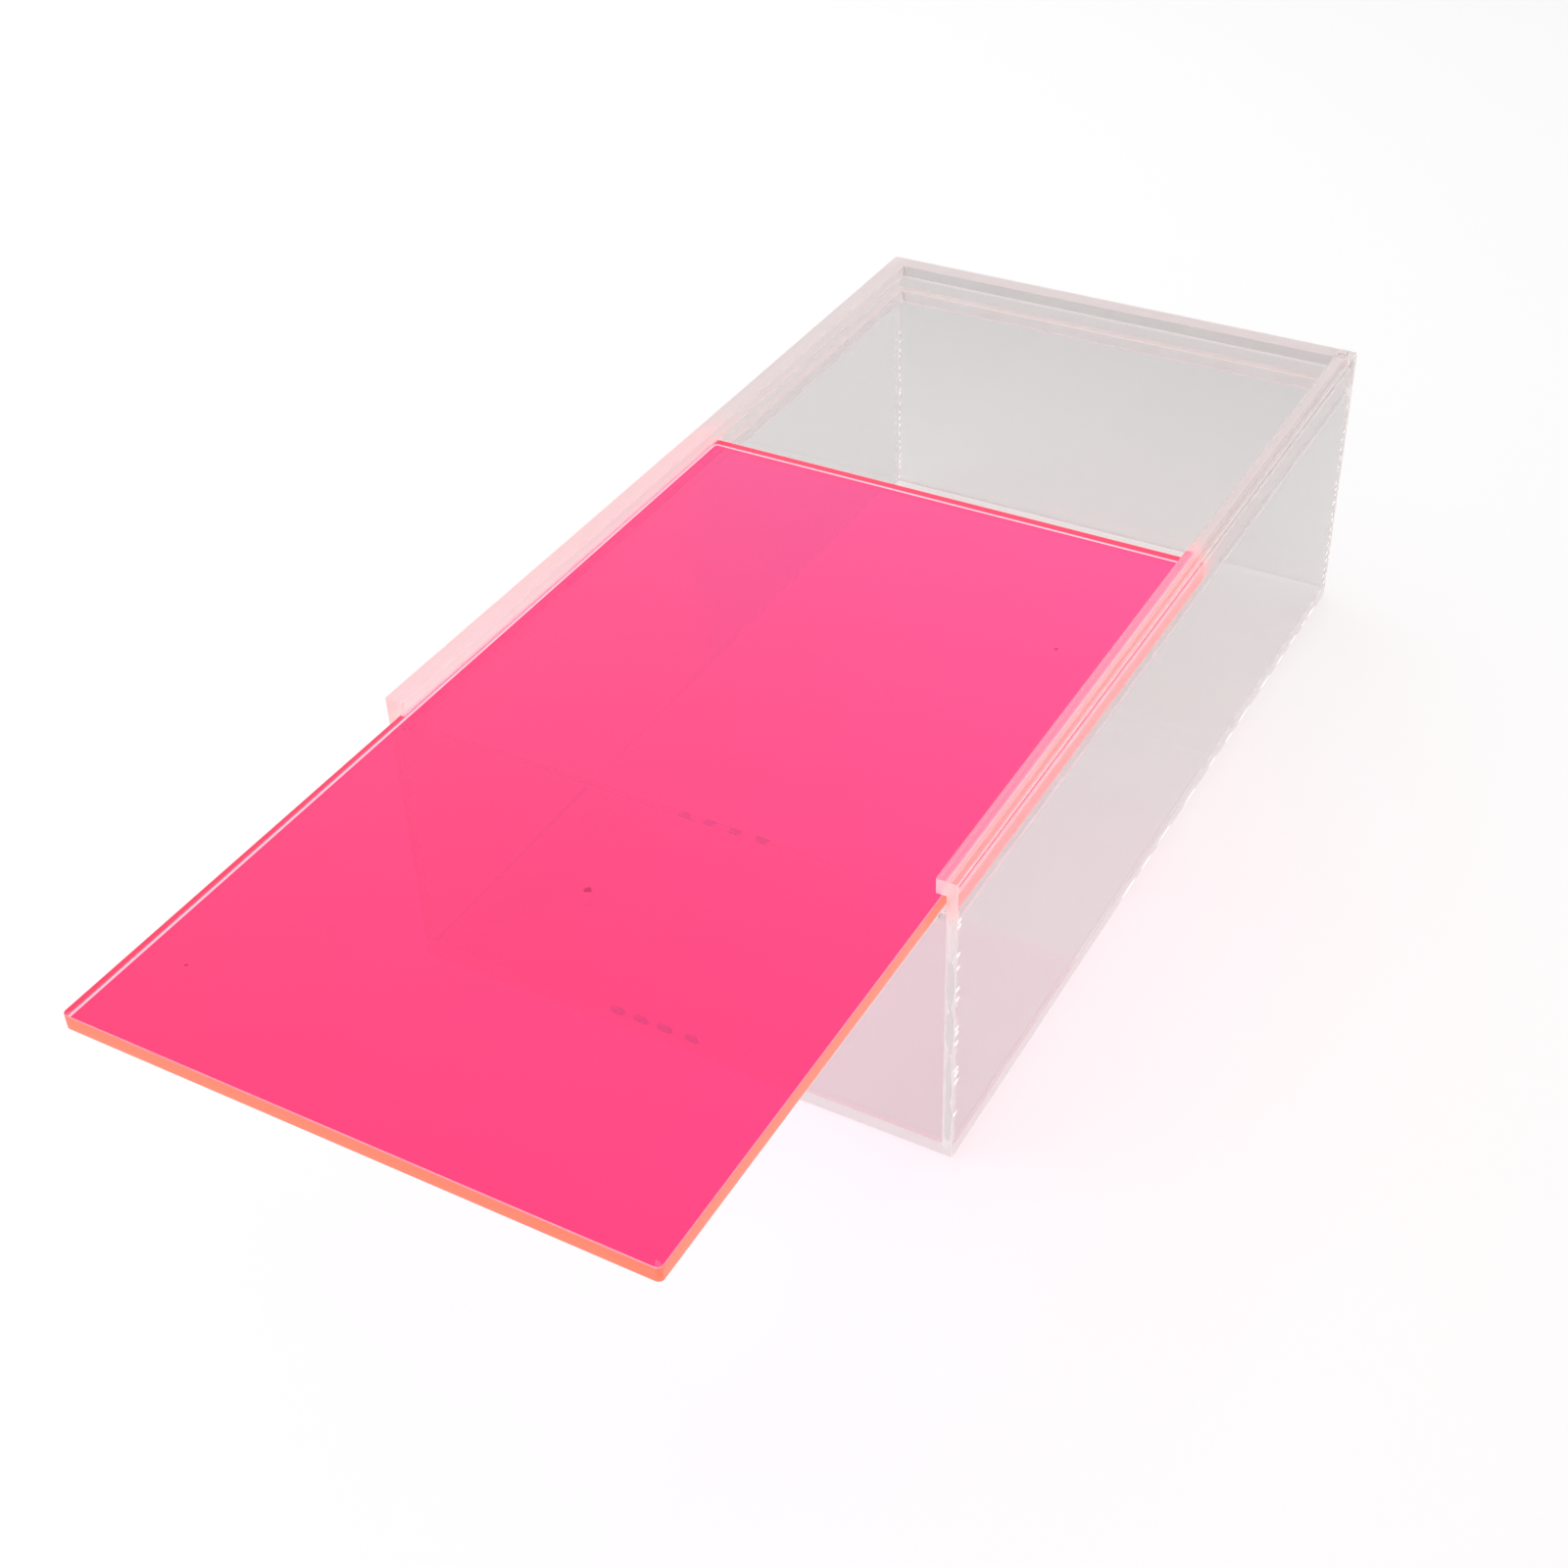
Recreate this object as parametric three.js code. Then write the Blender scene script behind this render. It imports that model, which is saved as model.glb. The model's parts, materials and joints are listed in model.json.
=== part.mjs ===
// Clear acrylic case with a sliding lid of fluorescent pink acrylic.
//
// Five clear sheets are cemented into an open box: the floor lies under everything, the side walls
// run its full length, and the front and back walls fit between them. Square strips are cemented
// inside the side and back walls in two rows, lips above and ledges below. The groove between the
// rows holds the lid on three sides, and over the low front wall the lid slides out.
//
// Millimetres, +Z up. The origin is the middle of the underside, and the lid leaves towards -Y.

import * as THREE from "three";

// Case, measured outside
const caseWidth = 114.3;
const caseLength = 203.2;
const caseHeight = 63.5;

// Clear sheets and strips
const floorThickness = 3;
const wallThickness = 2;
const stripWidth = 2;
const lipHeight = 3;
const ledgeHeight = 3;

// Lid
const lidThickness = 3;
const lidFrontSetback = 1.6;
const lidPulledOut = 88.6;
const lidCornerRadius = 1;
const lidEdgeEasing = 0.4;

// Clearances round the lid in its groove, and over the front wall
const lidFaceGap = 0.2;
const lidSideGap = 0.8;
const lidBackGap = 0.3;
const frontWallDrop = 0.3;

// Polishing rounds the free edges of the sheets by this much; cemented edges stay square.
const edgeEasing = 0.3;
const square = 0;
const curveFacets = 4;

// Planes that pieces share
const halfWidth = caseWidth / 2;
const halfLength = caseLength / 2;
const wallInside = halfWidth - wallThickness;
const stripInside = wallInside - stripWidth;
const frontInside = -halfLength + wallThickness;
const backInside = halfLength - wallThickness;
const backStripInside = backInside - stripWidth;
const lipBottom = caseHeight - lipHeight;
const lidBottom = lipBottom - lidFaceGap - lidThickness;
const ledgeTop = lidBottom - lidFaceGap;
const ledgeBottom = ledgeTop - ledgeHeight;
const frontWallTop = ledgeTop - frontWallDrop;

const clearAcrylic = new THREE.MeshStandardMaterial({
  color: 0xe4e0df,
  roughness: 0.04,
  metalness: 0,
  transparent: true,
  opacity: 0.35,
});
const pinkAcrylic = new THREE.MeshStandardMaterial({
  color: 0xff4a86,
  roughness: 0.05,
  metalness: 0,
  transparent: true,
  opacity: 0.9,
});

// Closed outline through corners of [across, up, easing]. An eased corner is cut back by its easing
// along both sides, and a curve joins the cuts.
function easedOutline(corners) {
  const outline = new THREE.Shape();
  corners.forEach(([across, up, easing], index) => {
    const corner = new THREE.Vector2(across, up);
    const cutTowards = (neighbour) => {
      const side = new THREE.Vector2(neighbour[0], neighbour[1]).sub(corner);
      return side.setLength(easing).add(corner);
    };
    const start = cutTowards(corners.at(index - 1));
    const end = cutTowards(corners[(index + 1) % corners.length]);
    if (index === 0) {
      outline.moveTo(start.x, start.y);
    } else {
      outline.lineTo(start.x, start.y);
    }
    if (easing > 0) {
      outline.quadraticCurveTo(corner.x, corner.y, end.x, end.y);
    }
  });
  outline.closePath();
  return outline;
}

// Sheet or strip with a constant section of corners in X and Z, from one Y to another.
function runAlongY(corners, front, back) {
  const run = { depth: back - front, bevelEnabled: false, curveSegments: curveFacets };
  const geometry = new THREE.ExtrudeGeometry(easedOutline(corners), run);
  return geometry.rotateX(Math.PI / 2).translate(0, back, 0);
}

// The same with a section of corners in Y and Z, from one X to another.
function runAlongX(corners, left, right) {
  const run = { depth: right - left, bevelEnabled: false, curveSegments: curveFacets };
  const geometry = new THREE.ExtrudeGeometry(easedOutline(corners), run);
  return geometry.rotateX(Math.PI / 2).rotateZ(Math.PI / 2).translate(left, 0, 0);
}

const acrylicCase = new THREE.Group();

function addPiece(name, geometry, material) {
  const piece = new THREE.Mesh(geometry, material);
  piece.name = name;
  acrylicCase.add(piece);
  return piece;
}

// Floor: one sheet of the full outline, which every wall stands on
const floorCorners = [
  [-halfWidth, 0, square],
  [halfWidth, 0, square],
  [halfWidth, floorThickness, square],
  [-halfWidth, floorThickness, square],
];
addPiece("floor_panel", runAlongY(floorCorners, -halfLength, halfLength), clearAcrylic);

// Side walls with their strips. The lips reach the open front, and the ledges stop at the front wall.
function sideStripCorners(side, bottom, top) {
  return [
    [side * wallInside, bottom, square],
    [side * stripInside, bottom, edgeEasing],
    [side * stripInside, top, edgeEasing],
    [side * wallInside, top, square],
  ];
}

for (const [side, sideName] of [[-1, "left"], [1, "right"]]) {
  const wallCorners = [
    [side * halfWidth, floorThickness, square],
    [side * wallInside, floorThickness, square],
    [side * wallInside, caseHeight, square],
    [side * halfWidth, caseHeight, edgeEasing],
  ];
  const lipCorners = sideStripCorners(side, lipBottom, caseHeight);
  const ledgeCorners = sideStripCorners(side, ledgeBottom, ledgeTop);
  addPiece(`${sideName}_wall`, runAlongY(wallCorners, -halfLength, halfLength), clearAcrylic);
  addPiece(`${sideName}_lip`, runAlongY(lipCorners, -halfLength, backInside), clearAcrylic);
  addPiece(`${sideName}_ledge`, runAlongY(ledgeCorners, frontInside, backInside), clearAcrylic);
}

// Front wall: low, so that the lid passes over it
const frontWallCorners = [
  [-halfLength, floorThickness, square],
  [frontInside, floorThickness, square],
  [frontInside, frontWallTop, edgeEasing],
  [-halfLength, frontWallTop, edgeEasing],
];
addPiece("front_wall", runAlongX(frontWallCorners, -wallInside, wallInside), clearAcrylic);

// Back wall with its strips, which fit between the strips of the side walls
const backWallCorners = [
  [halfLength, floorThickness, square],
  [backInside, floorThickness, square],
  [backInside, caseHeight, square],
  [halfLength, caseHeight, edgeEasing],
];
addPiece("back_wall", runAlongX(backWallCorners, -wallInside, wallInside), clearAcrylic);

function backStripCorners(bottom, top) {
  return [
    [backInside, bottom, square],
    [backStripInside, bottom, edgeEasing],
    [backStripInside, top, edgeEasing],
    [backInside, top, square],
  ];
}

const backLip = runAlongX(backStripCorners(lipBottom, caseHeight), -stripInside, stripInside);
addPiece("back_lip", backLip, clearAcrylic);
const backLedge = runAlongX(backStripCorners(ledgeBottom, ledgeTop), -stripInside, stripInside);
addPiece("back_ledge", backLedge, clearAcrylic);

// Lid: one sheet with its corners rounded and all its edges eased. It is drawn closed, with its
// front edge just inside the front of the case, and then pulled out towards the front.
const lidHalfWidth = wallInside - lidSideGap;
const lidFront = -halfLength + lidFrontSetback;
const lidBack = backInside - lidBackGap;
const lidOutline = easedOutline([
  [-lidHalfWidth, lidFront, lidCornerRadius],
  [lidHalfWidth, lidFront, lidCornerRadius],
  [lidHalfWidth, lidBack, lidCornerRadius],
  [-lidHalfWidth, lidBack, lidCornerRadius],
]);
const lidGeometry = new THREE.ExtrudeGeometry(lidOutline, {
  depth: lidThickness - 2 * lidEdgeEasing,
  bevelEnabled: true,
  bevelThickness: lidEdgeEasing,
  bevelSize: lidEdgeEasing,
  bevelOffset: -lidEdgeEasing,
  bevelSegments: curveFacets,
  curveSegments: curveFacets,
});
lidGeometry.translate(0, 0, lidEdgeEasing);
const lid = addPiece("lid", lidGeometry, pinkAcrylic);
lid.position.set(0, -lidPulledOut, lidBottom);

export default acrylicCase;
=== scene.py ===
import json
import math
import random

import bmesh
import bpy
from mathutils import Matrix, Vector, noise


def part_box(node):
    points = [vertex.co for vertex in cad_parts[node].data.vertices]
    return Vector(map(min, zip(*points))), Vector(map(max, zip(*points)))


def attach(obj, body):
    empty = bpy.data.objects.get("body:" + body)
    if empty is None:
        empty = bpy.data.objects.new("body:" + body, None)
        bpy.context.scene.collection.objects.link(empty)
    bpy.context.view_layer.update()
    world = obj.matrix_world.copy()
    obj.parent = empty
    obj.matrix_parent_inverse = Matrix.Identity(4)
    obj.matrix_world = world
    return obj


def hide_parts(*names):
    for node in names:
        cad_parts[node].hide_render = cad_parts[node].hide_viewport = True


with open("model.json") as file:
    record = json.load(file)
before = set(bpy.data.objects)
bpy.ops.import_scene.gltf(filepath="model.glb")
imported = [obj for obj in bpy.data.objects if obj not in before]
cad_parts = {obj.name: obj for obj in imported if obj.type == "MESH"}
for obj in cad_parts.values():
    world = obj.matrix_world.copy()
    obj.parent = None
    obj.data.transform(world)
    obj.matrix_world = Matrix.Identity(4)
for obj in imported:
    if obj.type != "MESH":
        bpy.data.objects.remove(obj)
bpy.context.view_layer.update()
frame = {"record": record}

# Clear sheets: the floor and the four walls.
# Cast acrylic sheet, sawn to size, with its free edges scraped round. The walls stand on the floor,
# and the front and back walls fit between the side walls; solvent cement fuses every joint.

MM = 0.001
CLEAR_PIECES = frame["record"]["behaviour"]["bodies"]["case"]
SHEET_EASING = 0.3 * MM
CEMENTED_EASING = 0.05 * MM
EASING_STEPS = 4
ROUND_PROFILE = 0.5
CEMENT_OVERLAP = 0.01 * MM
CEMENT_SLACK = 0.05 * MM
PROBE = 0.1 * MM
FLAT_ENOUGH = 0.9
FLAT_WEIGHT = 100
SHARP_ANGLE = math.radians(60)
ACRYLIC_IOR = 1.49
LAMP_TINT = "#FAF8F8"
RIPPLE_WIDTH = 22 * MM
RIPPLE_HEIGHT = 0.4 * MM
RIPPLE_STRENGTH = 0.02
RIPPLE_DETAIL = 1.0
POLISH_PATCH = 9 * MM
POLISH_DETAIL = 4.0
HAZE_PATCH = 6 * MM
HAZE_DETAIL = 3.0
boxes = {name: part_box(name) for name in CLEAR_PIECES}
case_low = boxes["floor_panel"][0]
case_high = boxes["right_wall"][1]
ledge_bottom, groove_bottom = (corner.z for corner in boxes["left_ledge"])
groove_top = boxes["left_lip"][0].z
left_inside = boxes["left_wall"][1].x
back_inside = boxes["back_wall"][0].y
UPWARDS = ("Z", case_low.z, case_high.z)
FRONT_TO_LID_BACK = ("Y", case_low.y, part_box("lid")[1].y)
# Each sheet's grey tint carries painted shade: the back wall is darkest, the walls darken towards their
# tops, and the left wall darkens towards the lid's back end instead.
SHEET_TINTS_AND_SHADE = {
    "floor_panel": {"tint": "#F5F3F3"},
    "left_wall": {"tint": "#FAF8F7", "far_tint": "#DCDAD9", "run": FRONT_TO_LID_BACK},
    "right_wall": {"tint": "#E8E6E5", "far_tint": "#E4E2E1"},
    "front_wall": {"tint": "#EFEDEC", "far_tint": "#EDEBEA"},
    "back_wall": {"tint": "#E2E0DF", "far_tint": "#D1D0CF"},
}


def linear(colour):
    """An sRGB hex colour as linear RGBA."""
    parts = [int(colour[i:i + 2], 16) / 255 for i in (1, 3, 5)]
    return [c / 12.92 if c <= 0.04045 else ((c + 0.055) / 1.055) ** 2.4 for c in parts] + [1.0]


def put(tree, kind, inputs=None, **settings):
    """Adds a node. Its inputs are plain values, or other nodes' sockets to link."""
    node = tree.nodes.new(kind)
    for name, value in settings.items():
        setattr(node, name, value)
    for name, value in (inputs or {}).items():
        if isinstance(value, bpy.types.NodeSocket):
            tree.links.new(value, node.inputs[name])
        else:
            node.inputs[name].default_value = value
    return node


def new_material(name):
    """A material with an empty node tree, and its output node."""
    material = bpy.data.materials.new(name)
    material.use_nodes = True
    material.node_tree.nodes.clear()
    return material, material.node_tree, put(material.node_tree, "ShaderNodeOutputMaterial")


def clear_acrylic(name, tint, roughness, milk=0.0, frost=0.0, far_tint=None, run=UPWARDS):
    """Clear cast acrylic: faint ripples from the casting glass, a grey tint, and patches of better and worse
    polish. Where there is a far_tint, the tint changes to it along run, which is an axis and its two ends. A
    matte face scatters the share milk of the light back and the share frost onwards. Light from the lamps
    goes straight through, as in a clean clear sheet."""
    material, tree, output = new_material(name)
    place = put(tree, "ShaderNodeTexCoord").outputs["Object"]
    ripples = put(tree, "ShaderNodeTexNoise", {
        "Vector": place, "Scale": 1 / RIPPLE_WIDTH, "Detail": RIPPLE_DETAIL})
    bump = put(tree, "ShaderNodeBump", {
        "Height": ripples.outputs["Fac"], "Strength": RIPPLE_STRENGTH, "Distance": RIPPLE_HEIGHT})
    wear = put(tree, "ShaderNodeTexNoise", {
        "Vector": place, "Scale": 1 / POLISH_PATCH, "Detail": POLISH_DETAIL})
    polish = put(tree, "ShaderNodeMapRange", {
        "Value": wear.outputs["Fac"], "To Min": roughness[0], "To Max": roughness[1]})
    colour = linear(tint)
    if far_tint:
        axis, start, end = run
        along = put(tree, "ShaderNodeSeparateXYZ", {"Vector": place}).outputs[axis]
        share = put(tree, "ShaderNodeMapRange", {"Value": along, "From Min": start, "From Max": end})
        mix = put(tree, "ShaderNodeMix", {
            "Factor": share.outputs["Result"], "A": colour, "B": linear(far_tint)}, data_type="RGBA")
        colour = mix.outputs["Result"]
    body = put(tree, "ShaderNodeBsdfPrincipled", {
        "Base Color": colour,
        "Roughness": polish.outputs["Result"],
        "IOR": ACRYLIC_IOR,
        "Transmission Weight": 1.0 - milk,
        "Normal": bump.outputs["Normal"],
    })
    if frost:
        onwards = put(tree, "ShaderNodeBsdfTranslucent", {"Color": colour})
        body = put(tree, "ShaderNodeMixShader", {0: frost, 1: body.outputs[0], 2: onwards.outputs[0]})
    lamp = put(tree, "ShaderNodeBsdfTransparent", {"Color": linear(LAMP_TINT)})
    path = put(tree, "ShaderNodeLightPath")
    shaded = put(tree, "ShaderNodeMixShader", {
        0: path.outputs["Is Diffuse Ray"], 1: body.outputs[0], 2: lamp.outputs[0]})
    mixed = put(tree, "ShaderNodeMixShader", {
        0: path.outputs["Is Shadow Ray"], 1: shaded.outputs[0], 2: lamp.outputs[0]})
    tree.links.new(mixed.outputs[0], output.inputs["Surface"])
    return material


def is_cemented(point, own):
    """True where a neighbouring clear piece touches this point of a piece."""
    for name, (low, high) in boxes.items():
        if name != own and all(low[i] - CEMENT_SLACK < point[i] < high[i] + CEMENT_SLACK for i in range(3)):
            return True
    return False


def new_piece(name, shape):
    """An object from a finished bmesh, smooth over its rounded edges and flat on its faces."""
    bmesh.ops.recalc_face_normals(shape, faces=shape.faces)
    for face in shape.faces:
        face.smooth = True
    for edge in shape.edges:
        edge.smooth = edge.calc_face_angle() < SHARP_ANGLE
    mesh = bpy.data.meshes.new(name)
    shape.to_mesh(mesh)
    shape.free()
    piece = bpy.data.objects.new(name, mesh)
    bpy.context.scene.collection.objects.link(piece)
    flat = piece.modifiers.new("flat_faces", "WEIGHTED_NORMAL")
    flat.weight = FLAT_WEIGHT
    flat.keep_sharp = True
    return piece


def plate(name, low, high, easing_of, cuts):
    """A closed flat plate between two corners, with each edge rounded by what easing_of gives, and its
    faces cut across by the planes in cuts, each an axis and a place on it."""
    shape = bmesh.new()
    bmesh.ops.create_cube(shape, size=1.0)
    size = high - low
    middle = (low + high) / 2
    for vert in shape.verts:
        vert.co = Vector(middle[i] + vert.co[i] * size[i] for i in range(3))
    eased = {}
    for edge in shape.edges:
        centre = (edge.verts[0].co + edge.verts[1].co) / 2
        eased.setdefault(easing_of(centre), []).append(edge)
    eased.pop(0.0, None)
    for easing in sorted(eased):
        edges = [edge for edge in eased[easing] if edge.is_valid]
        bmesh.ops.bevel(shape, geom=edges, offset=easing, segments=EASING_STEPS, profile=ROUND_PROFILE,
                        affect="EDGES", clamp_overlap=True)
    for axis, place in cuts:
        bmesh.ops.bisect_plane(shape, geom=shape.verts[:] + shape.edges[:] + shape.faces[:],
                               plane_co=axis * place, plane_no=axis)
    return new_piece(name, shape)


def finish_of(node, face):
    """The kind of surface that a face of a clear piece has."""
    is_sheet = node in SHEET_TINTS_AND_SHADE
    if max(abs(part) for part in face.normal) < FLAT_ENOUGH:
        if face.center.z < groove_top and is_cemented(face.center, node):
            return "bonded"
        return "scraped" if is_sheet or face.normal.z >= 0 else "arris"
    faces_up = face.normal.z > FLAT_ENOUGH
    faces_down = face.normal.z < -FLAT_ENOUGH
    if faces_up and face.center.z > groove_top:
        return "rail_top"
    ahead = face.center + face.normal * PROBE
    cemented = is_cemented(ahead, node)
    if cemented and (faces_down or node != "front_wall"):
        return "fused"
    if faces_up:
        return "polished" if is_sheet else "ledge_top"
    low, high = boxes[node]
    extents = list(high - low)
    if not is_sheet:
        if faces_down:
            return "underside"
        return "sawn" if abs(face.normal[extents.index(max(extents))]) > FLAT_ENOUGH else "polished"
    if abs(face.normal[extents.index(min(extents))]) > FLAT_ENOUGH:
        inside = all(case_low[i] < ahead[i] < case_high[i] for i in range(2))
        return "groove" if inside and groove_bottom < ahead.z < groove_top else "polished"
    return "bonded" if cemented else "sawn"


def clear_plate(node, easing, finishes):
    """The visible form of a clear node: a plate with its free edges rounded and its cemented ones nearly
    sharp, cut where its surface changes, and with a finish for each kind of surface."""
    grow = Vector((CEMENT_OVERLAP,) * 3)
    low, high = boxes[node]
    across, along, up = Matrix.Identity(3)
    cuts = []
    if low.z < ledge_bottom and groove_top < high.z:
        cuts += [(up, ledge_bottom), (up, groove_bottom), (up, groove_top)]
    if low.y < back_inside < high.y:
        cuts.append((along, back_inside))
    if node == "floor_panel":
        cuts.append((across, left_inside))

    def easing_of(point):
        seam = CEMENTED_EASING if point.z > groove_top else 0.0
        return seam if is_cemented(point, node) else easing

    piece = plate(f"{node}_sheet", low - grow, high + grow, easing_of, cuts)
    kinds = list(finishes)
    for kind in kinds:
        piece.data.materials.append(finishes[kind])
    for face in piece.data.polygons:
        face.material_index = kinds.index(finish_of(node, face))
    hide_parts(node)
    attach(piece, "case")


# A saw leaves the edges frosted, whitest round the floor. Scraping leaves the rounded edges pale and
# matte, so that they catch the light as thin lines.
sawn = clear_acrylic(
    "clear_acrylic_sawn", "#F6F3F2", roughness=(0.4, 0.6), milk=0.3, frost=0.4, far_tint="#F3EFEE")
white_sawn = clear_acrylic("clear_acrylic_white_sawn", "#F0ECEC", roughness=(0.4, 0.6), milk=0.6, frost=0.3)
scraped = clear_acrylic(
    "clear_acrylic_scraped", "#FBF8F6", roughness=(0.3, 0.5), milk=0.35, frost=0.5, far_tint="#FDFAF6")

# The right rail's top is polished and shows what lies under it. The other tops are sanded dull, and the
# walls are rubbed matte inside the groove, where their darker tint is painted shade.
rail_top = clear_acrylic("clear_acrylic_rail_top", "#F0EAE9", roughness=(0.02, 0.08), milk=0.06)
dull_top = clear_acrylic("clear_acrylic_dull_top", "#EEE6E5", roughness=(0.3, 0.5), milk=0.5, frost=0.35)
# The groove's darker tint is painted shade in the recess between lip and ledge.
groove = clear_acrylic("clear_acrylic_groove_shade", "#DDD7D7", roughness=(0.3, 0.5), milk=0.05, frost=0.65)

# Cement that took badly leaves a joint frosted. Where it took well, the joint is all but invisible.
bonded = clear_acrylic(
    "clear_acrylic_bonded", "#FAF7F6", roughness=(0.2, 0.35), milk=0.35, frost=0.4, far_tint="#F8F5F4")
fused, tree, output = new_material("clear_acrylic_fused")
place = put(tree, "ShaderNodeTexCoord").outputs["Object"]
haze = put(tree, "ShaderNodeTexNoise", {"Vector": place, "Scale": 1 / HAZE_PATCH, "Detail": HAZE_DETAIL})
clear = put(tree, "ShaderNodeMix", {
    "Factor": haze.outputs["Fac"], "A": linear("#FFFFFF"), "B": linear("#FAF7F7")}, data_type="RGBA")
through = put(tree, "ShaderNodeBsdfTransparent", {"Color": clear.outputs["Result"]})
tree.links.new(through.outputs[0], output.inputs["Surface"])

# The broad faces are clear and glossy, and each sheet has a grey tint, which differs from sheet to sheet as
# painted shade: the back wall is darkest, the walls darken towards their tops, and the left wall darkens
# from its front towards the lid's back end instead.
for node, tints in SHEET_TINTS_AND_SHADE.items():
    clear_plate(node, SHEET_EASING, {
        "polished": clear_acrylic(f"clear_acrylic_{node}", roughness=(0.0, 0.02), **tints),
        "sawn": white_sawn if node == "floor_panel" else sawn,
        "rail_top": rail_top if node == "right_wall" else dull_top,
        "scraped": scraped,
        "groove": groove,
        "bonded": bonded,
        "fused": fused,
    })

# Strips: the lips over the lid and the ledges under it.
# Square strips sawn from the same clear sheet and cemented inside the side and back walls. The lips'
# lower edges, along which the lid runs, are scraped white. The left and back strips have dull tops.

STRIP_EASING = 0.25 * MM

# A polished lip has a grey tint darker than the sheet it is cut from, which is painted shade. The left one
# is dulled, and so are the upper edges beside the dull tops, which look pale and pinkish; their pink tint is
# painted light from the lid.
lip = clear_acrylic("clear_acrylic_lip", "#CECBCA", roughness=(0.0, 0.04))
dull_lip = clear_acrylic("clear_acrylic_dull_lip", "#F2E6E5", roughness=(0.02, 0.06), milk=0.35)
dull_edge_painted_pink = clear_acrylic("clear_acrylic_dull_edge", "#EAD9D8", roughness=(0.3, 0.5), milk=0.9)

# The lips' sawn undersides let the lid's light in and glow with it. The back lip's underside is white and
# shows through its face as a bright line, a painted highlight, and so do the lips' scraped lower edges,
# whose white is a painted highlight too.
lip_underside = clear_acrylic(
    "clear_acrylic_lip_underside", "#FAF7F6", roughness=(0.3, 0.5), milk=0.05, frost=0.75)
white_underside_highlight = clear_acrylic("clear_acrylic_white_underside", "#FFFDFC", roughness=(0.3, 0.5), milk=0.9)
lip_arris_highlight = clear_acrylic("clear_acrylic_lip_arris", "#FEFDFC", roughness=(0.4, 0.6), milk=0.9)

# The ledges are paler than the lips, with a frosted underside and pinkish lower edges, whose pink tint is
# painted light from the lid.
ledge = clear_acrylic("clear_acrylic_ledge", "#E2DADB", roughness=(0.0, 0.04))
ledge_underside = clear_acrylic(
    "clear_acrylic_ledge_underside", "#FCF7F7", roughness=(0.3, 0.5), milk=0.05, frost=0.75)
ledge_arris_painted_pink = clear_acrylic(
    "clear_acrylic_ledge_arris", "#EDE6E6", roughness=(0.3, 0.5), milk=0.3, frost=0.3, far_tint="#EDE4E5")

LIP_FINISHES = {
    "left_lip": {
        "polished": dull_lip, "rail_top": dull_top, "scraped": dull_edge_painted_pink, "underside": lip_underside},
    "right_lip": {
        "polished": lip, "rail_top": rail_top, "scraped": scraped, "underside": lip_underside},
    "back_lip": {
        "polished": lip, "rail_top": dull_top, "scraped": dull_edge_painted_pink, "underside": white_underside_highlight},
}
LEDGE_FINISHES = {
    "left_ledge": {"ledge_top": dull_top, "scraped": dull_edge_painted_pink},
    "right_ledge": {"ledge_top": ledge, "scraped": scraped},
    "back_ledge": {"ledge_top": dull_top, "scraped": dull_edge_painted_pink},
}
for node, finishes in LIP_FINISHES.items():
    clear_plate(node, STRIP_EASING, finishes | {
        "sawn": sawn, "arris": lip_arris_highlight, "fused": fused, "bonded": fused})
for node, finishes in LEDGE_FINISHES.items():
    clear_plate(node, STRIP_EASING, finishes | {
        "polished": ledge, "sawn": ledge, "underside": ledge_underside, "arris": ledge_arris_painted_pink,
        "fused": fused, "bonded": fused})

# Cement: what the solvent left in and round the joints.
# Thin solvent cement is run into each joint from a needle. It trapped flat bubbles and specks of air,
# dried in long drops on the front ends of the side walls, and left four gaps under the front wall.

CEMENT_SEED = 7
SEAM_HALF = 0.12 * MM
BUBBLE_HEIGHTS_MM = (9.3, 17.0, 19.0, 26.5, 28.8, 36.7, 39.0, 43.9, 46.8, 53.0)
BUBBLE_COUNT = (1, 2)
BUBBLE_SHIFT = (-0.3 * MM, 0.1 * MM)
BUBBLE_STEP = 1.2 * MM
BUBBLE_HALF_LENGTH = (0.75 * MM, 0.95 * MM)
BUBBLE_HALF_HEIGHT = 0.42 * MM
SPECK_COUNT = 20
SPECK_SPACING = 2.1 * MM
SPECK_STRAY = (0.2, 0.8)
SPECK_MARGIN = 0.4 * MM
SPECK_HALF = (0.3 * MM, 0.55 * MM)
DASHES_SHORT_OF_BACK = 3 * MM
SEAM_DASH_START = 20 * MM
SEAM_DASH_HALF_LENGTH = (0.6 * MM, 1.6 * MM)
SEAM_DASH_DEPTH = (0.2 * MM, 0.6 * MM)
SEAM_DASH_HALF_WIDTH = 0.2 * MM
SEAM_DASH_SPACE = (0.8 * MM, 4.0 * MM)
EDGE_DASH_START = -20 * MM
EDGE_DASH_HALF_LENGTH = (1.5 * MM, 3.5 * MM)
EDGE_DASH_HEIGHT = (0.4 * MM, 0.8 * MM)
EDGE_DASH_HALF_HEIGHT = 0.25 * MM
EDGE_DASH_SPACE = (2.0 * MM, 8.0 * MM)
DASH_HALF_THICKNESS = 0.05 * MM
DROP_COUNT = 5
DROP_OFFSET = (0.85 * MM, 1.15 * MM)
DROP_STRAY = (0.4, 0.6)
DROP_HALF_HEIGHT = (5.5 * MM, 7.5 * MM)
RIM_HALF_WIDTH = 0.85 * MM
RIM_HALF_THICKNESS = 0.04 * MM
FILM_HALF_WIDTH = 0.7 * MM
FILM_HALF_THICKNESS = 0.07 * MM
FILM_HEIGHT_SHARE = 0.9
FOOT_OFFSET = 0.8 * MM
FOOT_HALF = (0.9 * MM, 0.15 * MM, 1.6 * MM)
GAP_PLACES_MM = (-12.9, -7.8, -2.5, 3.3)
GAP_DEPTH = 1.0 * MM
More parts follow.
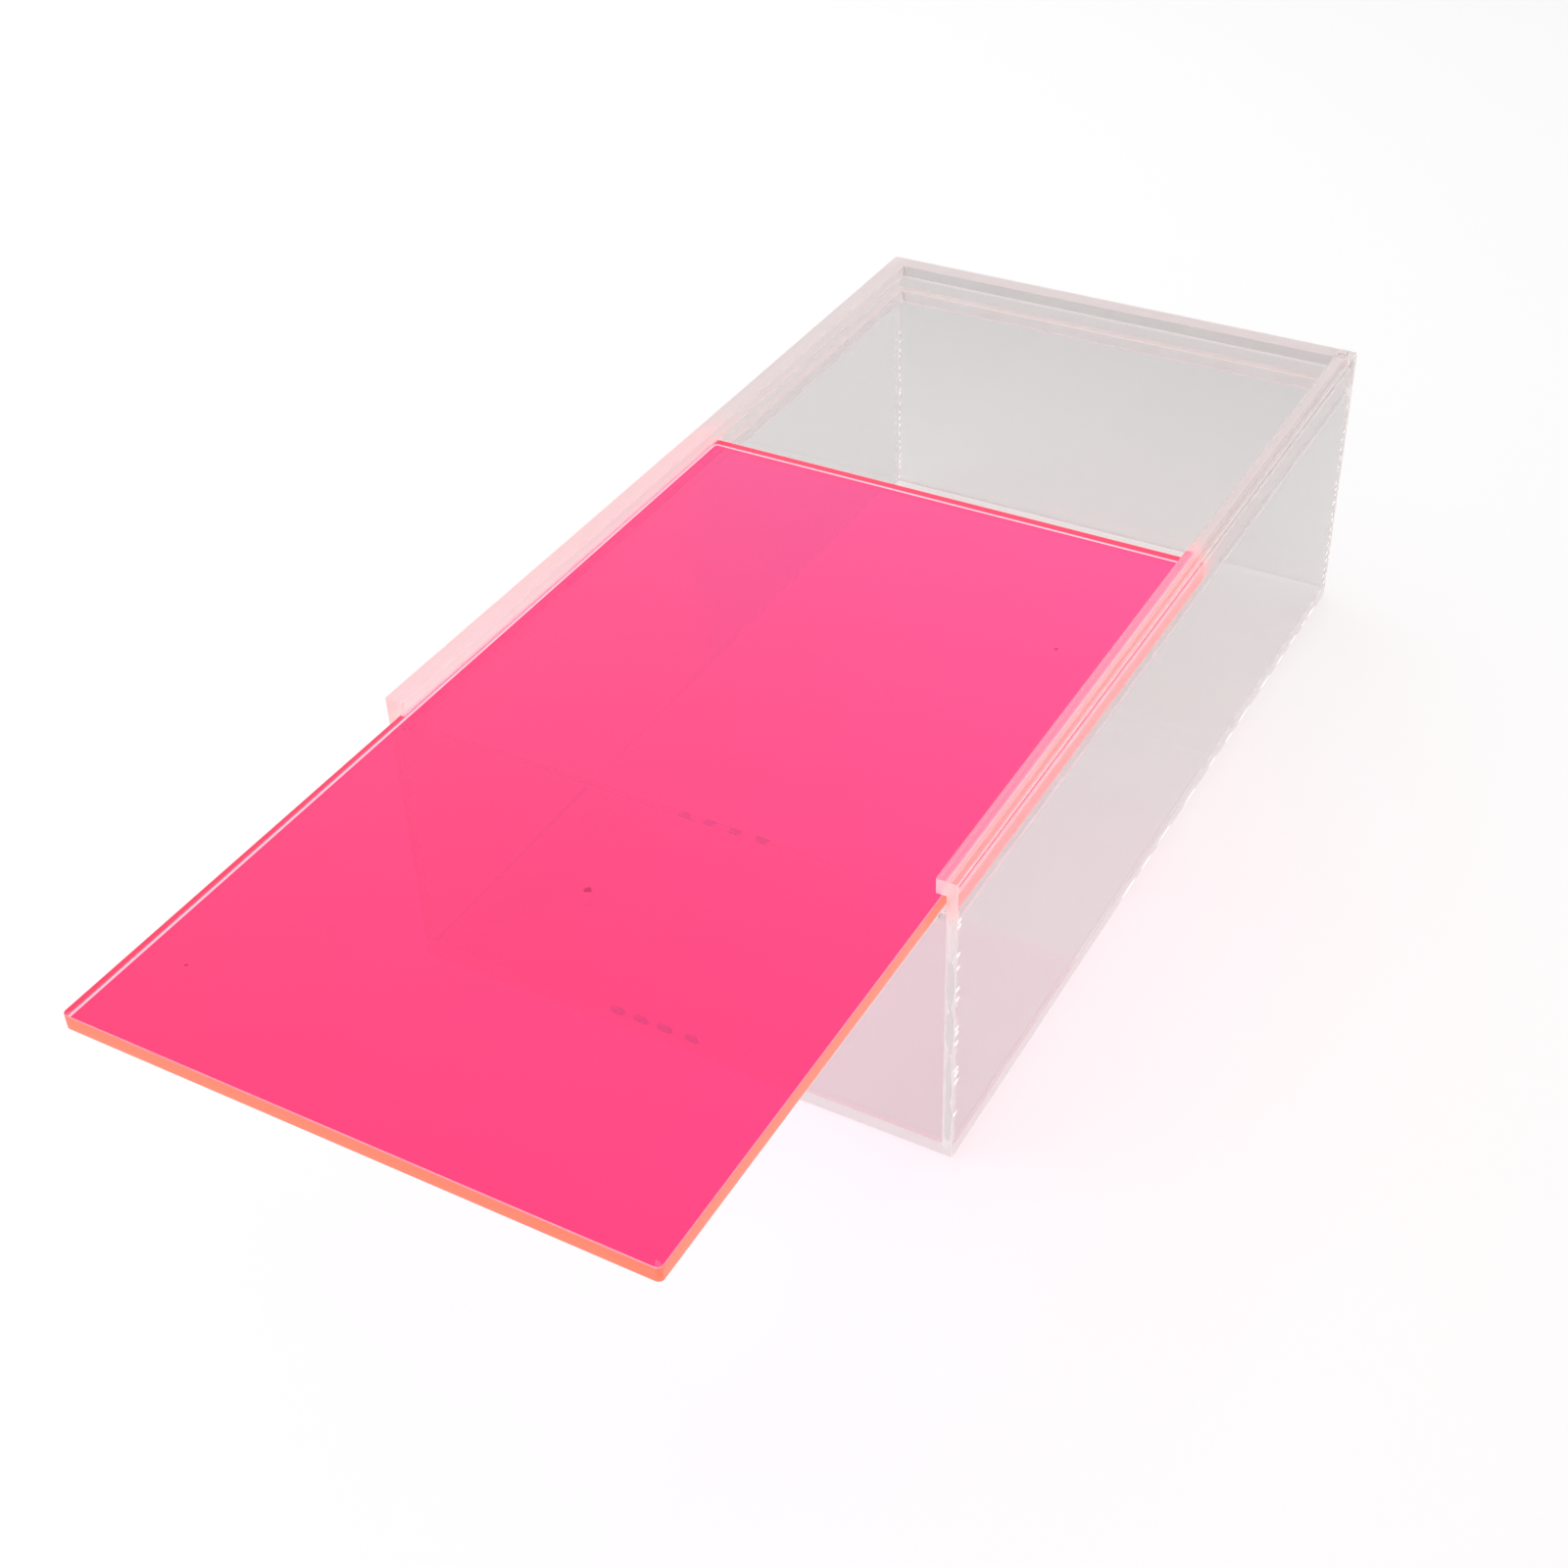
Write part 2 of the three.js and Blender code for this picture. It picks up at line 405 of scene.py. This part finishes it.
GAP_RISE = 0.3 * MM
GAP_HALF = (1.7 * MM, 0.9 * MM, 1.3 * MM)
SMOOTH = 0.25
UNEVEN = 0.5
BLOB_GRAIN = 1.4
BLOB_FINENESS = 3
BLOB_VARIETY = 100
AIR_GLINT = 0.4
rng = random.Random(CEMENT_SEED)


def blob(shape, centre, half, unevenness):
    """Adds a closed and uneven drop, with the given half sizes, to a shape."""
    away = Vector((rng.uniform(0, BLOB_VARIETY), 0, 0))
    made = bmesh.ops.create_icosphere(shape, subdivisions=BLOB_FINENESS, radius=1.0)
    for vert in made["verts"]:
        swell = 1 + unevenness * noise.noise(vert.co * BLOB_GRAIN + away)
        vert.co = Vector(centre[i] + vert.co[i] * half[i] * swell for i in range(3))


def cement_piece(name, shape, finish):
    """One joint's drops or bubbles as a piece of the case."""
    piece = new_piece(name, shape)
    piece.data.materials.append(finish)
    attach(piece, "case")


# Trapped air looks white. It throws light back like a small mirror, and a little glow stands for that.
air = clear_acrylic("clear_acrylic_air", "#FFFFFF", roughness=(0.4, 0.6), milk=0.95, far_tint="#FDFBFB")
air_body = next(node for node in air.node_tree.nodes if node.type == "BSDF_PRINCIPLED")
air_body.inputs["Emission Color"].default_value = linear("#FFFFFF")
air_body.inputs["Emission Strength"].default_value = AIR_GLINT

# A dried drop is a grey glossy film with a pale matte rim, whose paleness is a painted highlight of the
# light at the drop's edge. A gap without cement is coloured dark as painted shade.
film = clear_acrylic("clear_acrylic_film", "#DAD9D7", roughness=(0.05, 0.15), milk=0.8, far_tint="#D6D5D3")
film_rim_highlight = clear_acrylic(
    "clear_acrylic_film_rim", "#EBE9E8", roughness=(0.2, 0.4), milk=0.8, far_tint="#E9E7E6")
# The gaps' dark colour is painted shade.
gap_shade = clear_acrylic("clear_acrylic_gap", "#C8B4B4", roughness=(0.2, 0.4), milk=0.9)

front_high = boxes["front_wall"][1]
back_low, back_high = boxes["back_wall"]
floor_top = boxes["floor_panel"][1].z
dashes_end = case_high.y - DASHES_SHORT_OF_BACK
drop_spacing = (front_high.z - floor_top) / DROP_COUNT
for side, side_name in ((-1, "left"), (1, "right")):
    joint = side * front_high.x
    outside = side * case_high.x

    bubbles = bmesh.new()
    for height in BUBBLE_HEIGHTS_MM:
        for step in range(rng.randint(*BUBBLE_COUNT)):
            y = front_high.y + rng.uniform(*BUBBLE_SHIFT)
            z = height * MM + step * BUBBLE_STEP
            half = (SEAM_HALF, rng.uniform(*BUBBLE_HALF_LENGTH), BUBBLE_HALF_HEIGHT)
            blob(bubbles, (joint, y, z), half, SMOOTH)
    cement_piece(f"front_{side_name}_bubbles", bubbles, air)

    specks = bmesh.new()
    for step in range(SPECK_COUNT):
        y = rng.uniform(back_low.y + SPECK_MARGIN, back_high.y - SPECK_MARGIN)
        z = floor_top + (step + rng.uniform(*SPECK_STRAY)) * SPECK_SPACING
        half = (SEAM_HALF, rng.uniform(*SPECK_HALF), rng.uniform(*SPECK_HALF))
        blob(specks, (joint, y, z), half, UNEVEN)
    cement_piece(f"back_{side_name}_specks", specks, air)

    dashes = bmesh.new()
    y = SEAM_DASH_START
    while y < dashes_end:
        length = rng.uniform(*SEAM_DASH_HALF_LENGTH)
        x = outside - side * rng.uniform(*SEAM_DASH_DEPTH)
        blob(dashes, (x, y, floor_top), (SEAM_DASH_HALF_WIDTH, length, DASH_HALF_THICKNESS), UNEVEN)
        y += length * 2 + rng.uniform(*SEAM_DASH_SPACE)
    y = EDGE_DASH_START
    while y < dashes_end:
        length = rng.uniform(*EDGE_DASH_HALF_LENGTH)
        z = rng.uniform(*EDGE_DASH_HEIGHT)
        blob(dashes, (outside, y, z), (DASH_HALF_THICKNESS, length, EDGE_DASH_HALF_HEIGHT), UNEVEN)
        y += length * 2 + rng.uniform(*EDGE_DASH_SPACE)
    cement_piece(f"floor_{side_name}_dashes", dashes, air)

    films = bmesh.new()
    rims = bmesh.new()
    for step in range(DROP_COUNT):
        x = joint + side * rng.uniform(*DROP_OFFSET)
        z = floor_top + (step + rng.uniform(*DROP_STRAY)) * drop_spacing
        tall = rng.uniform(*DROP_HALF_HEIGHT)
        drop = (x, case_low.y, z)
        blob(rims, drop, (RIM_HALF_WIDTH, RIM_HALF_THICKNESS, tall), SMOOTH)
        blob(films, drop, (FILM_HALF_WIDTH, FILM_HALF_THICKNESS, tall * FILM_HEIGHT_SHARE), SMOOTH)
    blob(rims, (joint + side * FOOT_OFFSET, case_low.y, floor_top), FOOT_HALF, UNEVEN)
    cement_piece(f"front_{side_name}_drops", films, film)
    cement_piece(f"front_{side_name}_drop_rim_highlights", rims, film_rim_highlight)

# Dark blobs under the front wall where the cement left gaps, coloured as painted shade.
gaps = bmesh.new()
for x in GAP_PLACES_MM:
    blob(gaps, (x * MM, front_high.y - GAP_DEPTH, floor_top + GAP_RISE), GAP_HALF, SMOOTH)
cement_piece("front_floor_gaps", gaps, gap_shade)

# Lid: one sheet of fluorescent pink acrylic.
# The dye soaks up light over the whole face and gives it off again inside the sheet, so the face glows
# pink and the edges orange. Its edges are scraped by hand. It slides loose in its groove.

LID_CORNER = 1.0 * MM
LID_CORNER_STEPS = 6
LEAST_CORNER = 0.1 * MM
LID_TOP_SCRAPE = ((0.0, 0.15 * MM), (0.04 * MM, 0.04 * MM), (0.15 * MM, 0.0))
LID_BOTTOM_SCRAPE = ((0.45 * MM, 0.0), (0.1 * MM, 0.05 * MM), (0.0, 0.15 * MM))
LID_BORDER = 1.5 * MM
LID_RIPPLE_WIDTH = 26 * MM
LID_POLISH_PATCH = 12 * MM
LID_ROUGHNESS = (0.0, 0.04)
# How the painted sheen on the lid's underside runs across and along the lid.
SHEEN_ACROSS = 0.35
SHEEN_ALONG = 0.65
CORNER_SIDES = ((1, 1), (-1, 1), (-1, -1), (1, -1))
lid_low, lid_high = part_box("lid")


def pink_acrylic(name, tint, lamp_tint, milk, glow, strength, spill, spill_strength,
                 far_sheen_glow=None, inner_shade_glow=None):
    """Fluorescent cast acrylic: deep clear pink that also gives off light of its own. Where a far glow
    colour is given, the glow changes to it from the front left corner to the back right, and that change is
    a painted sheen. Where an inner glow colour is given, it is what shows of the glow from inside the sheet,
    darkened there as painted shade. Milk is the share of light that is scattered at the surface, lamp_tint
    is what the lamps' light takes on in passing, and spill is the colour of the light that falls on the
    matte faces of the rails close by."""
    material, tree, output = new_material(name)
    place = put(tree, "ShaderNodeTexCoord").outputs["Object"]
    ripples = put(tree, "ShaderNodeTexNoise", {
        "Vector": place, "Scale": 1 / LID_RIPPLE_WIDTH, "Detail": RIPPLE_DETAIL})
    bump = put(tree, "ShaderNodeBump", {
        "Height": ripples.outputs["Fac"], "Strength": RIPPLE_STRENGTH, "Distance": RIPPLE_HEIGHT})
    wear = put(tree, "ShaderNodeTexNoise", {
        "Vector": place, "Scale": 1 / LID_POLISH_PATCH, "Detail": POLISH_DETAIL})
    polish = put(tree, "ShaderNodeMapRange", {
        "Value": wear.outputs["Fac"], "To Min": LID_ROUGHNESS[0], "To Max": LID_ROUGHNESS[1]})
    shade = linear(glow)
    # Towards the back right corner the glow changes to a paler, bluer colour: a painted sheen.
    if far_sheen_glow:
        slope = Vector((SHEEN_ACROSS / (lid_high.x - lid_low.x), SHEEN_ALONG / (lid_high.y - lid_low.y), 0.0))
        diagonal = put(tree, "ShaderNodeVectorMath", {0: place, 1: slope}, operation="DOT_PRODUCT")
        share = put(tree, "ShaderNodeMapRange", {
            "Value": diagonal.outputs["Value"],
            "From Min": lid_low.dot(slope), "From Max": lid_high.dot(slope)})
        mix = put(tree, "ShaderNodeMix", {
            "Factor": share.outputs["Result"], "A": shade, "B": linear(far_sheen_glow)}, data_type="RGBA")
        shade = mix.outputs["Result"]
    # From inside the sheet the glow is swapped for a darker colour: painted shade.
    if inner_shade_glow:
        from_inside = put(tree, "ShaderNodeNewGeometry").outputs["Backfacing"]
        mix = put(tree, "ShaderNodeMix", {
            "Factor": from_inside, "A": shade, "B": linear(inner_shade_glow)}, data_type="RGBA")
        shade = mix.outputs["Result"]
    body = put(tree, "ShaderNodeBsdfPrincipled", {
        "Base Color": linear(tint),
        "Roughness": polish.outputs["Result"],
        "IOR": ACRYLIC_IOR,
        "Transmission Weight": 1.0 - milk,
        "Emission Color": shade,
        "Emission Strength": strength,
        "Normal": bump.outputs["Normal"],
    })
    lamp = put(tree, "ShaderNodeBsdfTransparent", {"Color": linear(lamp_tint)})
    shine = put(tree, "ShaderNodeEmission", {"Color": linear(spill), "Strength": spill_strength})
    lit = put(tree, "ShaderNodeAddShader", {0: lamp.outputs[0], 1: shine.outputs[0]})
    path = put(tree, "ShaderNodeLightPath")
    shaded = put(tree, "ShaderNodeMixShader", {
        0: path.outputs["Is Diffuse Ray"], 1: body.outputs[0], 2: lit.outputs[0]})
    mixed = put(tree, "ShaderNodeMixShader", {
        0: path.outputs["Is Shadow Ray"], 1: shaded.outputs[0], 2: lamp.outputs[0]})
    tree.links.new(mixed.outputs[0], output.inputs["Surface"])
    return material


def lid_outline(shape, inset, height):
    """A ring of points round the lid, drawn in by inset from its rounded outline."""
    ring = []
    reach = max(LID_CORNER - inset, LEAST_CORNER)
    middle = (lid_low + lid_high) / 2
    for turn, (side, end) in enumerate(CORNER_SIDES):
        x = middle.x + side * ((lid_high.x - lid_low.x) / 2 - inset - reach)
        y = middle.y + end * ((lid_high.y - lid_low.y) / 2 - inset - reach)
        for step in range(LID_CORNER_STEPS + 1):
            angle = math.radians(90) * (turn + step / LID_CORNER_STEPS)
            ring.append(shape.verts.new((x + reach * math.cos(angle), y + reach * math.sin(angle), height)))
    return ring


# The face is glossy, deep pink and see-through, with its glow on the underside, which grows paler and bluer
# towards the back right corner as a painted sheen. Its border also lights the rails. The orange edge is
# matte and glows most; from inside the sheet its glow is painted darker crimson, as painted shade. Its
# scraped arrises are pale as painted highlights, and the lower ones glow cream.
LID_FINISHES = {
    "top": pink_acrylic(
        "pink_acrylic_top", tint="#FF75DD", lamp_tint="#FFFCFD", milk=0.0,
        glow="#FF142A", strength=0.02, spill="#FF1428", spill_strength=0.02),
    "border": pink_acrylic(
        "pink_acrylic_border", tint="#FF75DD", lamp_tint="#FF3060", milk=0.0,
        glow="#FF142A", strength=0.02, spill="#FF6888", spill_strength=1.5),
    # The underside's glow grows paler and bluer towards the back right corner, a painted sheen.
    "bottom": pink_acrylic(
        "pink_acrylic_bottom", tint="#FF0410", lamp_tint="#FFFCFD", milk=0.0,
        glow="#C46899", strength=0.4, spill="#C47CB8", spill_strength=0.4, far_sheen_glow="#C48ED2"),
    # Seen from inside the sheet, the edge's glow is painted darker crimson, as painted shade.
    "edge": pink_acrylic(
        "pink_acrylic_edge", tint="#FF623C", lamp_tint="#FF7058", milk=1.0,
        glow="#FF3128", strength=2.5, spill="#FF5060", spill_strength=2.2, inner_shade_glow="#590035"),
    # The arrises' pale colours are painted highlights; the lower ones also glow cream as painted highlights.
    "upper_scrape_highlight": pink_acrylic(
        "pink_acrylic_upper_scrape", tint="#FF8E9C", lamp_tint="#FFA0A0", milk=0.9,
        glow="#FFAAB6", strength=0.05, spill="#FFA8B4", spill_strength=2.0),
    "lower_scrape_highlight": pink_acrylic(
        "pink_acrylic_lower_scrape", tint="#FFD8C0", lamp_tint="#FFA0A0", milk=0.9,
        glow="#FFE8B0", strength=1.2, spill="#FFE8B0", spill_strength=0.0),
}
shape = bmesh.new()
bottom_rings = [lid_outline(shape, inset, lid_low.z + rise) for inset, rise in LID_BOTTOM_SCRAPE]
top_rings = [lid_outline(shape, inset, lid_high.z - drop) for inset, drop in LID_TOP_SCRAPE]
rings = bottom_rings + top_rings + [lid_outline(shape, LID_BORDER, lid_high.z)]
lower_bands = ["lower_scrape_highlight"] * (len(bottom_rings) - 1)
upper_bands = ["upper_scrape_highlight"] * (len(top_rings) - 1)
bands = lower_bands + ["edge"] + upper_bands + ["border"]
kinds = list(LID_FINISHES)
for band, lower, upper in zip(bands, rings, rings[1:]):
    for i in range(len(lower)):
        face = shape.faces.new((lower[i - 1], lower[i], upper[i], upper[i - 1]))
        face.material_index = kinds.index(band)
shape.faces.new(rings[-1]).material_index = kinds.index("top")
shape.faces.new(rings[0]).material_index = kinds.index("bottom")
lid = new_piece("lid_sheet", shape)
for finish in LID_FINISHES.values():
    lid.data.materials.append(finish)
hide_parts("lid")
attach(lid, "lid")

# Lid marks: small specks of dirt cast into the lid's sheet, close under its top face.
# They are dark crimson, and matte. The largest shows clearly, and the two smaller ones are faint.

LID_MARKS_MM = ((2.4, -126.6, 0.6), (-44.3, -171.1, 0.35), (42.5, -29.2, 0.35))
MARK_DEPTH = 0.02 * MM
MARK_HALF_HEIGHT = 0.04 * MM
marks = bmesh.new()
for x, y, radius in LID_MARKS_MM:
    centre = (x * MM, y * MM, lid_high.z - MARK_DEPTH)
    blob(marks, centre, (radius * MM, radius * MM, MARK_HALF_HEIGHT), UNEVEN)
lid_marks = new_piece("lid_marks", marks)
lid_marks.data.materials.append(pink_acrylic(
    "pink_acrylic_mark", tint="#CD1A55", lamp_tint="#FFA0A0", milk=1.0,
    glow="#80102E", strength=0.1, spill="#80102C", spill_strength=0.0))
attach(lid_marks, "lid")

# Studio: a pale floor, one broad soft lamp overhead and an even pale surround.
# The floor is white matte paper, a hair below the case so that the two faces don't meet.

FLOOR_HALF = 3.0
FLOOR_DROP = 0.3 * MM
PAPER_ROUGHNESS = 0.9
SURROUND_FADE = (0.3, 0.8)
SURROUND_SIDES = 1.2
SURROUND_TOP = 0.4
LAMP_SIZE = 1.6
LAMP_POWER = 14.0
LAMP_PLACE = Vector((-0.5, -0.1, 1.5))
floor_mesh = bpy.data.meshes.new("studio_floor")
floor_corners = [(x * FLOOR_HALF, y * FLOOR_HALF, -FLOOR_DROP) for x, y in CORNER_SIDES]
floor_mesh.from_pydata(floor_corners, [], [range(len(floor_corners))])
floor = bpy.data.objects.new("studio_floor", floor_mesh)
bpy.context.scene.collection.objects.link(floor)
paper, tree, output = new_material("white_paper")
plain = put(tree, "ShaderNodeBsdfPrincipled", {
    "Base Color": linear("#FAFAFA"), "Roughness": PAPER_ROUGHNESS, "Specular IOR Level": 0.0})
tree.links.new(plain.outputs[0], output.inputs["Surface"])
floor_mesh.materials.append(paper)

world = bpy.data.worlds.new("studio_surround")
bpy.context.scene.world = world
world.use_nodes = True
sky = world.node_tree
sky.nodes.clear()
direction = put(sky, "ShaderNodeTexCoord").outputs["Generated"]
steepness = put(sky, "ShaderNodeSeparateXYZ", {"Vector": direction}).outputs["Z"]
strength = put(sky, "ShaderNodeMapRange", {
    "Value": steepness, "From Min": SURROUND_FADE[0], "From Max": SURROUND_FADE[1],
    "To Min": SURROUND_SIDES, "To Max": SURROUND_TOP})
background = put(sky, "ShaderNodeBackground", {
    "Color": linear("#FFFFFF"), "Strength": strength.outputs["Result"]})
put(sky, "ShaderNodeOutputWorld", {"Surface": background.outputs[0]})

lamp_data = bpy.data.lights.new("overhead_softbox", "AREA")
lamp_data.shape = "SQUARE"
lamp_data.size = LAMP_SIZE
lamp_data.energy = LAMP_POWER
lamp = bpy.data.objects.new("overhead_softbox", lamp_data)
lamp.location = LAMP_PLACE
lamp.rotation_euler = (-LAMP_PLACE).to_track_quat("-Z", "Y").to_euler()
bpy.context.scene.collection.objects.link(lamp)

# Camera: at the photograph's viewing angle, from the front right and above.
# Its lens, place and slight roll come from the corners of the case in the photograph.

FRAME_PIXELS = 1600
FOCAL_PIXELS = 2318.3
SENSOR_WIDTH = 36.0
NEAREST_SEEN = 0.01
CAMERA_PLACE = Vector((173.4, -353.4, 300.7)) * MM
CAMERA_AZIMUTH = math.radians(30.42)
CAMERA_ELEVATION = math.radians(37.95)
CAMERA_ROLL = math.radians(-2.14)
camera_data = bpy.data.cameras.new("camera")
camera_data.sensor_width = SENSOR_WIDTH
camera_data.lens = FOCAL_PIXELS / FRAME_PIXELS * SENSOR_WIDTH
camera_data.clip_start = NEAREST_SEEN
camera = bpy.data.objects.new("camera", camera_data)
bpy.context.scene.collection.objects.link(camera)
forward = Vector((-math.sin(CAMERA_AZIMUTH) * math.cos(CAMERA_ELEVATION),
                  math.cos(CAMERA_AZIMUTH) * math.cos(CAMERA_ELEVATION), -math.sin(CAMERA_ELEVATION)))
level = forward.cross(Vector((0, 0, 1))).normalized()
upward = level.cross(forward)
right = level * math.cos(CAMERA_ROLL) + upward * math.sin(CAMERA_ROLL)
up = right.cross(forward)
camera.matrix_world = Matrix.Translation(CAMERA_PLACE) @ Matrix((right, up, -forward)).transposed().to_4x4()
bpy.context.scene.camera = camera
bpy.context.scene.view_settings.view_transform = "Standard"

# Light paths: long enough for light to cross the rails and to run along the walls.
# Inside the clear sheets it is thrown from face to face many times before it leaves.

LIGHT_BOUNCES = 80
for limit in ("max_bounces", "glossy_bounces", "transmission_bounces", "transparent_max_bounces"):
    setattr(bpy.context.scene.cycles, limit, LIGHT_BOUNCES)
